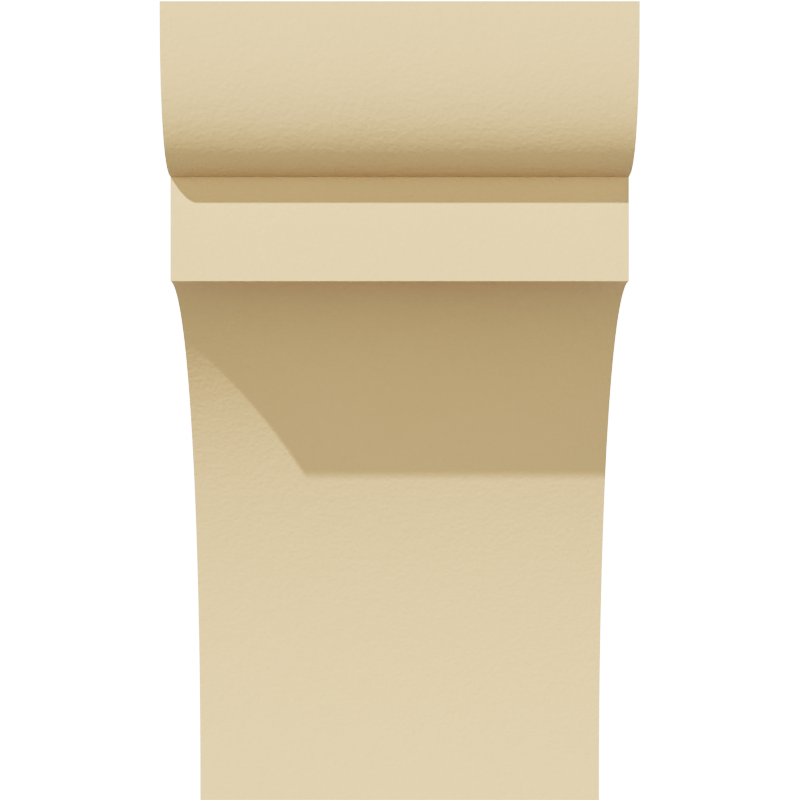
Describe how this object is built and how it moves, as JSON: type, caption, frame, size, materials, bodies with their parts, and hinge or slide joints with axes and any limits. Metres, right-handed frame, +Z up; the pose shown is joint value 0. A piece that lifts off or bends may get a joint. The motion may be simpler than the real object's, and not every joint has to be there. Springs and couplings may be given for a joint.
{
  "type": "urethane corbel",
  "caption": "Plain primed urethane corbel with an ovolo top, a flat fascia and a long cove, fixed to a wall by its flat back.",
  "frame": {"origin": "middle of the flat back, where it meets the wall, on the centre line and halfway up", "axes": "+Z up, +Y into the wall, X across the width; the front faces -Y"},
  "size_m": [0.1396, 0.1524, 0.254],
  "materials": {
    "primed_urethane": "matt tan factory primer on moulded urethane"
  },
  "bodies": {
    "root": {"corbel_body": "primed_urethane"}
  },
  "joints": []
}
